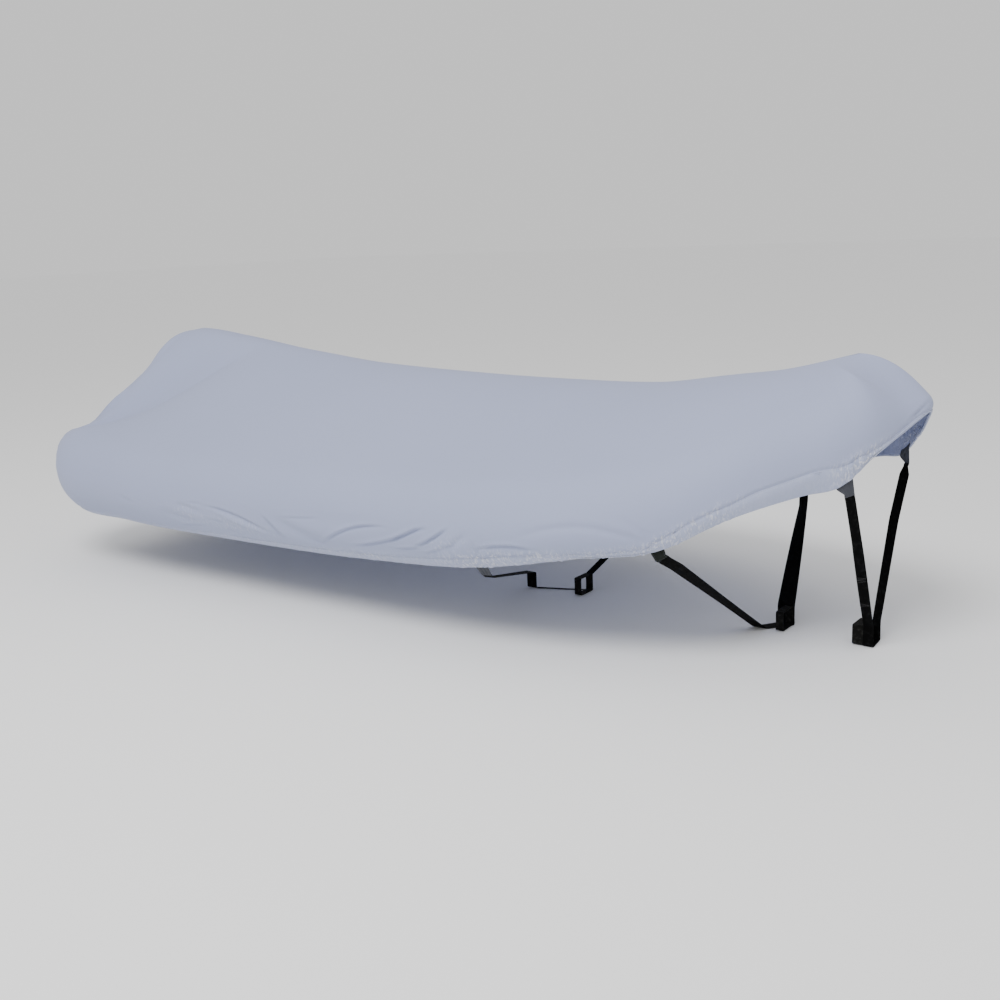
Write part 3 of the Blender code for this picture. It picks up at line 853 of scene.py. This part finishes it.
# One row per side of each strap: the point where it leaves the tube, how far it has
# already twisted there, whether it bends over the beam's top edge, and where it meets
# the beam and how wide it lies there.
RUN_COLUMNS = ("name", "side", "leave_x", "leave_across", "leave_height", "turned",
               "over_top", "meet_x", "meet_width")
RUNS = (
    ("bow", -1, 1.930, 0.225, -0.483, 0.0, 1, 1.916, 0.038),
    ("bow", 1, 1.908, 0.215, -0.511, 1.0, 1, 1.913, 0.031),
    ("middle", -1, 1.410, 0.555, -0.563, 0.0, 0, 1.490, 0.060),
    ("middle", 1, 1.410, 0.555, -0.571, 0.0, 1, 1.558, 0.070),
    ("stern", -1, 0.645, 0.640, -0.690, 0.0, 1, 0.412, 0.050),
    ("stern", 1, 0.645, 0.620, -0.695, 0.0, 1, 0.653, 0.034),
)
SIDES = (("near", -1), ("far", 1))
ALONG = np.array([1.0, 0.0, 0.0])
runs = {(run["name"], run["side"]): run for run in with_names(RUN_COLUMNS, RUNS)}


def square_to(way, path):
    return unit(way - path * (way @ path))


def tab_points(tab, side):
    """Columns of points on a tab from behind the hem to its foot, and its lower end."""
    ends = np.interp((tab["first"], tab["last"]), STATION_STEPS, EDGE_RUN)
    along = np.linspace(*ends, TAB_ACROSS + 1)
    spot, outward = surface(side, along, np.tile((0, TAB_PROBE, TAB_TUCK),
                                                   (len(along), 1)))
    down = spot[:, 0] - spot[:, 1]
    down /= np.linalg.norm(down, axis=1)[:, None]
    hidden = spot[:, 2] - outward[:, 2] * TAB_BEHIND
    edge = spot[:, 0] - outward[:, 0] * TAB_BEHIND
    root = spot[:, 0] + down * TAB_ROOT - outward[:, 0] * TAB_CLOTH
    foot = np.array([tab["foot_x"], tab["foot_across"] * side, tab["foot_height"]])
    run = runs[tab["name"], side]
    leave = np.array([run["leave_x"], run["leave_across"] * side, run["leave_height"]])
    path = unit(leave - foot)
    way = square_to(unit(spot[-1, 0] - spot[0, 0]), path)
    share = np.linspace(-0.5, 0.5, TAB_ACROSS + 1)[:, None]
    stub = foot - path * TAB_STUB + way * share * tab["foot_width"]
    end = foot + way * share * tab["foot_width"]
    waist = root + (stub - root) * TAB_WAIST
    lines = np.array([hidden, edge, root, waist, stub, end])
    rows = np.array([between_rows(lines, place)
                     for place in np.linspace(0, len(lines) - 1, TAB_DOWN + 1)])
    face = unit(np.cross(way, path)) * side
    ridges = (np.sin(share * 2 * math.pi * TAB_RIDGES + TAB_RIDGE_SHIFT)
              * np.cos(share * math.pi))
    strain = np.sin(np.linspace(0, math.pi, TAB_DOWN + 1) ** TAB_STRAIN)
    rows += strain[:, None, None] * ridges[None] * face * tab["ply"]
    return np.transpose(rows, (1, 0, 2)), foot, leave, path, way


def flat_uv(points):
    """Real distances across and down a grid of points, for the weave."""
    across = np.linalg.norm(np.diff(points, axis=0), axis=2)
    down = np.linalg.norm(np.diff(points, axis=1), axis=2)
    across = np.concatenate([np.zeros((1, points.shape[1])), np.cumsum(across, axis=0)])
    down = np.concatenate([np.zeros((points.shape[0], 1)), np.cumsum(down, axis=1)],
                          axis=1)
    return np.stack([across, down], axis=2)


tab_cloths = {
    "grey_tab_cloth": cloth_material("grey_tab_cloth", dark=(0.040, 0.043, 0.053),
                                     light=(0.072, 0.075, 0.090), mottle_scale=25.0,
                                     thread=0.0011, crumple=(90.0, 0.0008),
                                     roughness=0.75, sheen=0.05, shine=0.2),
    "dark_tab_cloth": cloth_material("dark_tab_cloth", dark=(0.005, 0.0065, 0.0055),
                                     light=(0.018, 0.021, 0.019), mottle_scale=25.0,
                                     thread=0.0011, crumple=(90.0, 0.0008),
                                     roughness=0.8, sheen=0.0, shine=0.12),
}
tab_thread = thread_material("tab_thread", (0.11, 0.115, 0.13))
tab_feet = {}
for tab in with_names(TAB_COLUMNS, TABS):
    for side_name, side in SIDES:
        points, *tab_feet[tab["name"], side] = tab_points(tab, side)
        tab_feet[tab["name"], side].append(tab["foot_width"])
        name = f"tab_{tab['name']}_{side_name}"
        made = thicken(sheet_from_grid(f"{name}_cloth", points, flat_uv(points)),
                       TAB_CLOTH, offset=0)
        made.data.materials.append(tab_cloths[tab["cloth"]])
        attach(made, "root")
        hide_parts(name)
        outward = np.cross(np.gradient(points, axis=1), np.gradient(points, axis=0))
        outward /= np.linalg.norm(outward, axis=2)[..., None]
        outward *= np.sign(outward[0, -1, 1] * side) or 1
        inset = TAB_STITCH_INSET
        shown = slice(TAB_STITCH_START, TAB_DOWN)
        rim, rim_out = (np.concatenate([what[inset, shown], what[inset:-inset, -2],
                                        what[-1 - inset, shown][::-1]])
                        for what in (points, outward))
        stitches = sew(f"{name}_stitches", rim + rim_out * TAB_CLOTH * TAB_STITCH_OFF,
                       rim_out, *TAB_STITCH, tab_thread)

# ---- Straps --------------------------------------------------------------------------
# Black woven polypropylene webbing. Each strap is one length from the near tab down under
# the trailer's beam, which is left out, and up to the far tab. Pull keeps it straight.
WEBBING = 0.0014
BEAM_HALF = 0.043
BEAM_TOP = -0.855
BEAM_DEEP = 0.070
STRAP_CLEAR = 0.0034
BEND_STEP = 0.002
TWIST_STEPS = 20
TWIST_RUN = 0.02
# A strap starts STRAP_LAP above its tab's foot, STRAP_BEHIND behind the tab's middle ply,
# and comes out straight for FOOT_STEP below the foot.
STRAP_LAP = 0.010
STRAP_BEHIND = 0.0019
FOOT_STEP = 0.002
WEB_STEP = 0.003
WEB_ACROSS = 8
WEB_EASINGS = 2
WEB_HALF_CUT = 0.025
RIB_PITCH = 0.0016


def ribbon(name, keys, thickness, closed=False):
    """A band through (centre, way, width) keys, with its bends eased."""
    centre = np.array([key[0] for key in keys])
    reach = np.array([key[1] * key[2] / 2 for key in keys])
    run = np.r_[0, np.cumsum(np.linalg.norm(np.diff(centre, axis=0), axis=1))]
    spots = np.linspace(0, run[-1], round(run[-1] / WEB_STEP) + 1)
    centre, reach = (np.stack([np.interp(spots, run, what[:, k]) for k in range(3)], 1)
                     for what in (centre, reach))
    for line in (centre, reach):
        for _ in range(WEB_EASINGS):
            before = np.roll(line, 1, axis=0)
            after = np.roll(line, -1, axis=0)
            if closed:
                before[0] = line[-2]
                after[-1] = line[1]
            eased = (before + 2 * line + after) / 4
            if not closed:
                eased[[0, -1]] = line[[0, -1]]
            line[:] = eased
    share = np.linspace(-1, 1, WEB_ACROSS + 1)
    points = centre[:, None] + reach[:, None] * share[None, :, None]
    uvs = np.stack(np.meshgrid(spots, share * WEB_HALF_CUT, indexing="ij"), axis=2)
    made = thicken(sheet_from_grid(name, points, uvs, closed=closed), thickness, offset=0)
    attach(made, "root")
    return made


def webbing_material(name, dark, light):
    """Black webbing with cross ribs, a few paler patches, partly wear and partly painted
    sheen, and hardly any shine.
    """
    made, nodes, links = node_tree(name)
    shader = nodes["Principled BSDF"]
    set_sockets(shader, Roughness=0.7, Specular_IOR_Level=0.05)
    where = nodes.new("ShaderNodeTexCoord")
    # The paler patches are partly wear and partly a painted sheen.
    wear_and_sheen_noise = add_node(nodes, "TexNoise", Scale=70, Detail=4)
    links.new(where.outputs["Object"], wear_and_sheen_noise.inputs["Vector"])
    wear_and_sheen_patches = add_node(nodes, "MapRange", From_Min=0.52, From_Max=0.75)
    links.new(wear_and_sheen_noise.outputs["Fac"], wear_and_sheen_patches.inputs["Value"])
    links.new(mixed(nodes, links, wear_and_sheen_patches.outputs["Result"], dark, light),
              shader.inputs["Base Color"])
    ribs = add_node(nodes, "TexWave", Scale=WAVE_PERIOD / RIB_PITCH, Distortion=0.4)
    links.new(where.outputs["UV"], ribs.inputs["Vector"])
    links.new(bumped(nodes, links, ribs.outputs["Fac"], strength=0.5, distance=0.0004),
              shader.inputs["Normal"])
    return made


def strap_keys(name, side):
    """Places down one side of a strap, from inside its tab's foot to under the beam."""
    run = runs[name, side]
    foot, leave, path, way, start_width = tab_feet[name, side]
    half = BEAM_HALF + STRAP_CLEAR
    bottom = BEAM_TOP - BEAM_DEEP - STRAP_CLEAR
    x, width = run["meet_x"], run["meet_width"]
    low = np.array([x, half * side, bottom + BEND_STEP])
    meet = np.array([x, half * side, BEAM_TOP]) if run["over_top"] else low
    turned_way = square_to(way * (1 - run["turned"]) + ALONG * run["turned"], path)
    behind = unit(np.cross(way, path)) * side * STRAP_BEHIND
    keys = [(foot - path * STRAP_LAP - behind, way, start_width),
            (foot + path * FOOT_STEP - behind, way, start_width),
            (foot + path * (TAB_STUB + TWIST_RUN * run["turned"]), turned_way,
             start_width)]
    for t in np.linspace(0, 1, TWIST_STEPS + 1):
        lean = run["turned"] + (1 - run["turned"]) * t
        free_way = square_to(way * (1 - lean) + ALONG * lean, unit(meet - leave))
        keys.append((leave + (meet - leave) * t, unit(free_way * (1 - t) + ALONG * t),
                     start_width * (1 - t) + width * t))
    if run["over_top"]:
        keys.append((low, ALONG, width))
    keys.append((np.array([x, (half - BEND_STEP) * side, bottom]), ALONG, width))
    return keys


black_webbing = webbing_material("black_webbing", dark=(0.0012, 0.0012, 0.0013),
                                 light=(0.009, 0.009, 0.0095))
for tab in with_names(TAB_COLUMNS, TABS):
    keys = strap_keys(tab["name"], -1) + strap_keys(tab["name"], 1)[::-1]
    strap = ribbon(f"strap_{tab['name']}_webbing", keys, WEBBING)
    strap.data.materials.append(black_webbing)
    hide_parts(f"strap_{tab['name']}")

# A second layer of the same webbing lies on the middle of the near bow strap, sewn down
# with slanting rows of dark thread near both ends. Places along it are counted in the
# steps of the strap's twist. LAP_ROWS has each row's place and slant; a row reaches
# LAP_REACH of the width to both sides and falls LAP_SLANT of a step. LAP_STITCH is its
# pitch, length and thread.
LAP_FIRST = 8
LAP_LAST = 15
LAP_OFF = 0.0017
LAP_ROWS = ((8.25, 1), (8.55, -1), (8.85, 1), (9.15, -1), (14.4, 1), (14.7, -1))
LAP_SLANT = 0.12
LAP_REACH = 0.42
LAP_STITCH = (0.0042, 0.0036, 0.0013)
KEYS_AT_FOOT = 3
bow_keys = strap_keys("bow", -1)[KEYS_AT_FOOT:]


def lap_place(step, across):
    """A point on the lap's outer face and its outward direction, at a step down it."""
    low = int(step)
    (a, way, width), (b, _, _) = bow_keys[low], bow_keys[low + 1]
    out = unit(np.cross(way, b - a))
    if out[1] > 0:
        out = -out
    spot = a + (b - a) * (step - low) + way * width * across
    return spot + out * (LAP_OFF + WEBBING / 2), out


lap_keys = []
for step in range(LAP_FIRST, LAP_LAST + 1):
    spot, out = lap_place(step, 0)
    lap_keys.append((spot - out * WEBBING / 2, bow_keys[step][1], bow_keys[step][2]))
lap = ribbon("strap_bow_lap", lap_keys, WEBBING)
lap.data.materials.append(black_webbing)
lap_thread = thread_material("lap_thread", (0.085, 0.085, 0.09))
for k, (step, slant) in enumerate(LAP_ROWS):
    ends = [lap_place(step + edge * LAP_SLANT * slant, edge * LAP_REACH)
            for edge in (-1, 1)]
    row = sew(f"strap_bow_lap_stitches_{k + 1}", np.array([spot for spot, _ in ends]),
              np.array([out for _, out in ends]), *LAP_STITCH, lap_thread)

# ---- Turns ---------------------------------------------------------------------------
# Shorter bands of the same webbing closed round the beam beside each strap, which keep
# the straps from sliding along it.
TURN_CLEAR = 0.0015
TURN_COLUMNS = ("name", "x", "width")
TURNS = (
    ("bow", 1.877, 0.044),
    ("middle", 1.572, 0.032),
    ("stern", 0.653, 0.034),
)
worn_webbing = webbing_material("worn_webbing", dark=(0.006, 0.006, 0.0058),
                                light=(0.030, 0.030, 0.028))
for turn in with_names(TURN_COLUMNS, TURNS):
    wide = BEAM_HALF + TURN_CLEAR
    top = BEAM_TOP + TURN_CLEAR
    low = BEAM_TOP - BEAM_DEEP - TURN_CLEAR
    corners = ((0, top), (-wide, top), (-wide, low), (wide, low), (wide, top), (0, top))
    keys = [(np.array([turn["x"], y, z]), ALONG, turn["width"]) for y, z in corners]
    band = ribbon(f"turn_{turn['name']}_webbing", keys, WEBBING, closed=True)
    band.data.materials.append(worn_webbing)
    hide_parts(f"turn_{turn['name']}")

# ---- Studio --------------------------------------------------------------------------
# A pale floor under the lowest strap, wide soft light from above and a white room.
FLOOR_BELOW = 0.002
FLOOR_HALF = 60
ROOM_STRENGTH = 0.84
floor_mesh = bmesh.new()
bmesh.ops.create_grid(
    floor_mesh, x_segments=1, y_segments=1, size=FLOOR_HALF,
    matrix=Matrix.Translation((0, 0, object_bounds()[0][2] - FLOOR_BELOW)))
floor = object_from("floor", floor_mesh)
pale_floor, nodes, _ = node_tree("pale_floor")
set_sockets(nodes["Principled BSDF"], Base_Color=(0.97, 0.97, 0.97, 1), Roughness=0.9)
floor.data.materials.append(pale_floor)

room = bpy.data.worlds.new("white_room")
room.use_nodes = True
set_sockets(room.node_tree.nodes["Background"], Color=(1, 1, 1, 1), Strength=ROOM_STRENGTH)
bpy.context.scene.world = room

# One wide lamp high on the near side, aimed at the cover's middle.
LAMP_PLACE = Vector((1.5, -5.0, 6.0))
LAMP_AIM = Vector((0, 0, -0.3))
lamp = bpy.data.lights.new("key_light", "AREA")
lamp.shape = "DISK"
lamp.size = 4.0
lamp.energy = 480
key_light = bpy.data.objects.new("key_light", lamp)
bpy.context.scene.collection.objects.link(key_light)
key_light.location = LAMP_PLACE
key_light.rotation_euler = (LAMP_AIM - LAMP_PLACE).to_track_quat("-Z", "Y").to_euler()

# The camera stands at eye height off the bow quarter and leans a little.
CAMERA_PLACE = Vector((3.345, -4.073, 0.618))
AZIMUTH = math.radians(37.5)
ELEVATION = math.radians(12.95)
LEAN = math.radians(2.6)
right = Vector((math.cos(AZIMUTH), math.sin(AZIMUTH), 0))
forward = Vector((-math.sin(AZIMUTH) * math.cos(ELEVATION),
                  math.cos(AZIMUTH) * math.cos(ELEVATION), -math.sin(ELEVATION)))
upward = right.cross(forward)
across = right * math.cos(LEAN) - upward * math.sin(LEAN)
lens = bpy.data.cameras.new("camera")
lens.sensor_width = 36
lens.lens = 42.48
lens.clip_end = 200
camera = bpy.data.objects.new("camera", lens)
bpy.context.scene.collection.objects.link(camera)
turned = Matrix((across, across.cross(forward), -forward)).transposed().to_4x4()
camera.matrix_world = Matrix.Translation(CAMERA_PLACE) @ turned
bpy.context.scene.camera = camera
